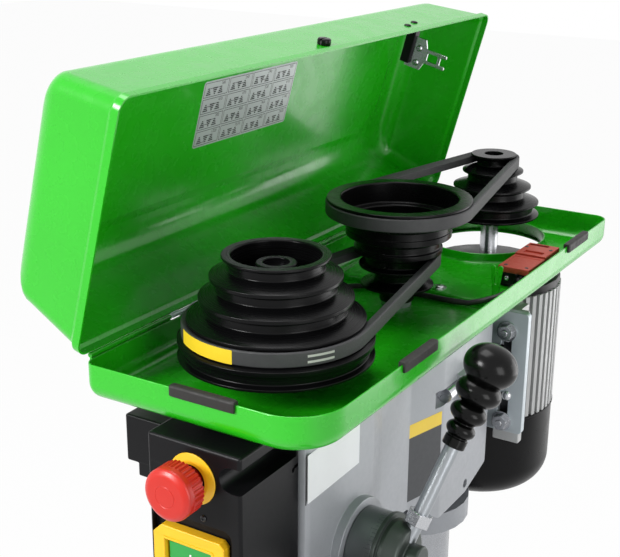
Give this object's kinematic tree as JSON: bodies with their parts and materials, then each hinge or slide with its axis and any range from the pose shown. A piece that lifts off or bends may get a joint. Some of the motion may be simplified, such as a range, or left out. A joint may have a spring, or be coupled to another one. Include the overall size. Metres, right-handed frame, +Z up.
{
  "type": "pillar drill press",
  "caption": "Floor-standing bench drill press with belt-driven spindle, feed levers, hinged pulley lid, tilting table and cranked rack lift.",
  "frame": {"origin": "floor point under the column's axis, on the underside of the base", "axes": "+X to the operator's right, +Y to the back (towards the motor), +Z up along the column"},
  "size_m": [0.3434, 0.6636, 1.1767],
  "materials": {
    "green_paint": "smooth glossy green paint",
    "head_paint": "silver-grey paint on a casting",
    "cast_iron": "grey, lightly textured",
    "ground_iron": "ground flat, bright",
    "bright_steel": "bright turned steel",
    "dark_steel": "dark turned steel",
    "column_steel": "ground and polished tube",
    "zinc_plate": "zinc plated sheet",
    "black_pulley": "satin black paint on aluminium pulleys",
    "belt_rubber": "cloth-covered rubber belt",
    "aluminium_frame": "cast, sprayed grey",
    "black_paint": "semi-gloss black",
    "box_plastic": "fine-grained dark grey plastic",
    "gloss_black": "polished black plastic",
    "red_button": "red plastic",
    "green_button": "green plastic",
    "yellow_plastic": "yellow plastic",
    "switch_red": "red-brown plastic",
    "bumper_rubber": "soft black rubber",
    "cable_black": "black sheathed cable"
  },
  "bodies": {
    "stand": {"base_plate": "cast_iron", "column_flange": "cast_iron", "column": "column_steel", "head_casting": "head_paint", "pulley_tray": "green_paint", "motor_opening_plate": "green_paint", "cable_fork": "green_paint", "bumper_front": "bumper_rubber", "bumper_right_front": "bumper_rubber", "bumper_right_rear": "bumper_rubber", "interlock_switch_body": "box_plastic", "interlock_switch_head": "switch_red", "interlock_cable": "cable_black", "hinge_front": "zinc_plate", "hinge_rear": "zinc_plate", "lower_belt": "belt_rubber", "upper_belt": "belt_rubber", "switch_box": "box_plastic", "estop_ring": "yellow_plastic", "switch_frame": "yellow_plastic", "return_spring_cup": "black_paint"},
    "lid": {"pulley_lid": "green_paint", "lid_knob": "gloss_black", "interlock_key": "bright_steel"},
    "spindle_drive": {"spindle_pulley": "black_pulley"},
    "idler": {"idler_pulley": "black_pulley"},
    "motor": {"motor_plate": "zinc_plate", "slide_bar_left": "bright_steel", "slide_bar_right": "bright_steel", "motor_body": "aluminium_frame", "motor_end_bell": "black_paint", "motor_fan_cover": "black_paint"},
    "rotor": {"motor_shaft": "bright_steel", "motor_pulley": "black_pulley", "motor_fan": "black_paint"},
    "slide_lock": {"slide_lock_knob": "bright_steel"},
    "estop": {"estop_button": "red_button"},
    "start": {"start_button": "green_button"},
    "stop": {"stop_button": "red_button"},
    "quill": {"quill": "bright_steel"},
    "spindle": {"spindle": "bright_steel", "chuck_body": "bright_steel"},
    "chuck_ring": {"chuck_sleeve": "bright_steel"},
    "feed": {"feed_shaft": "bright_steel", "feed_hub": "bright_steel", "feed_lever_1": "bright_steel", "feed_lever_2": "bright_steel", "feed_lever_3": "bright_steel", "feed_grip_1": "gloss_black", "feed_grip_2": "gloss_black", "feed_grip_3": "gloss_black"},
    "depth_stop": {"depth_ring": "dark_steel"},
    "depth_lock": {"depth_ring_knob": "gloss_black"},
    "rack": {"column_rack": "bright_steel", "rack_ring": "cast_iron"},
    "bracket": {"table_bracket": "cast_iron"},
    "table": {"table": "ground_iron"},
    "crank": {"table_crank": "bright_steel"},
    "crank_handle": {"crank_grip": "gloss_black"},
    "table_clamp": {"table_clamp_lever": "black_paint"}
  },
  "joints": [
    {"name": "lid_hinge", "type": "hinge", "parent": "stand", "child": "lid", "pos_m": [-0.1055, -0.256, 0.962], "axis": [0, 1, 0], "range_deg": [0, 74.7]},
    {"name": "spindle_pulley_spin", "type": "hinge", "parent": "stand", "child": "spindle_drive", "pos_m": [0, -0.256, 0.96], "axis": [0, 0, 1], "continuous": true},
    {"name": "idler_spin", "type": "hinge", "parent": "stand", "child": "idler", "pos_m": [0, -0.051, 0.96], "axis": [0, 0, 1], "continuous": true},
    {"name": "motor_slide", "type": "slide", "parent": "stand", "child": "motor", "axis": [0, 1, 0], "range_m": [-0.012, 0]},
    {"name": "motor_spin", "type": "hinge", "parent": "motor", "child": "rotor", "pos_m": [0, 0.164, 0.96], "axis": [0, 0, 1], "continuous": true},
    {"name": "slide_lock_turn", "type": "hinge", "parent": "stand", "child": "slide_lock", "pos_m": [0.0705, 0.006, 0.852], "axis": [1, 0, 0], "range_deg": [0, 360]},
    {"name": "estop_press", "type": "slide", "parent": "stand", "child": "estop", "axis": [0, 1, 0], "range_m": [0, 0.004], "stiffness_N_per_m": 500, "springref_m": -0.004},
    {"name": "start_press", "type": "slide", "parent": "stand", "child": "start", "axis": [0, 1, 0], "range_m": [0, 0.003], "stiffness_N_per_m": 400, "springref_m": -0.003},
    {"name": "stop_press", "type": "slide", "parent": "stand", "child": "stop", "axis": [0, 1, 0], "range_m": [0, 0.003], "stiffness_N_per_m": 400, "springref_m": -0.003},
    {"name": "quill_slide", "type": "slide", "parent": "stand", "child": "quill", "axis": [0, 0, -1], "range_m": [0, 0.085], "stiffness_N_per_m": 400, "springref_m": -0.25},
    {"name": "spindle_spin", "type": "hinge", "parent": "quill", "child": "spindle", "pos_m": [0, -0.256, 0.7], "axis": [0, 0, 1], "continuous": true},
    {"name": "chuck_ring_turn", "type": "hinge", "parent": "spindle", "child": "chuck_ring", "pos_m": [0, -0.256, 0.64], "axis": [0, 0, 1], "continuous": true},
    {"name": "feed_turn", "type": "hinge", "parent": "stand", "child": "feed", "pos_m": [0, -0.217, 0.779], "axis": [1, 0, 0], "range_deg": [0, 348]},
    {"name": "depth_ring_turn", "type": "hinge", "parent": "feed", "child": "depth_stop", "pos_m": [0, -0.217, 0.779], "axis": [1, 0, 0], "continuous": true},
    {"name": "depth_lock_turn", "type": "hinge", "parent": "depth_stop", "child": "depth_lock", "pos_m": [0.0745, -0.217, 0.779], "axis": [0, -0.9903, -0.1392], "range_deg": [0, 360]},
    {"name": "table_swing", "type": "hinge", "parent": "stand", "child": "rack", "pos_m": [0, 0, 0.295], "axis": [0, 0, 1], "continuous": true},
    {"name": "table_lift", "type": "slide", "parent": "rack", "child": "bracket", "axis": [0, 0, 1], "range_m": [-0.11, 0.06]},
    {"name": "table_tilt", "type": "hinge", "parent": "bracket", "child": "table", "pos_m": [0, -0.088, 0.31], "axis": [0, 1, 0], "range_deg": [-45, 45]},
    {"name": "crank_turn", "type": "hinge", "parent": "bracket", "child": "crank", "pos_m": [0, 0.0681, 0.295], "axis": [1, 0, 0], "range_deg": [-351, 192]},
    {"name": "crank_handle_spin", "type": "hinge", "parent": "crank", "child": "crank_handle", "pos_m": [0.08, -0.00153, 0.24625], "axis": [1, 0, 0], "continuous": true},
    {"name": "table_clamp_turn", "type": "hinge", "parent": "bracket", "child": "table_clamp", "pos_m": [-0.071, 0, 0.295], "axis": [0, 1, 0], "range_deg": [0, 90]}
  ],
  "couplings": [
    {"joint": "idler_spin", "follows": "spindle_pulley_spin", "ratio": 1.9409},
    {"joint": "motor_spin", "follows": "spindle_pulley_spin", "ratio": 5.2131},
    {"joint": "spindle_spin", "follows": "spindle_pulley_spin", "ratio": 1},
    {"joint": "feed_turn", "follows": "quill_slide", "rad_per_m": 71.429},
    {"joint": "crank_turn", "follows": "table_lift", "rad_per_m": 55.556}
  ]
}
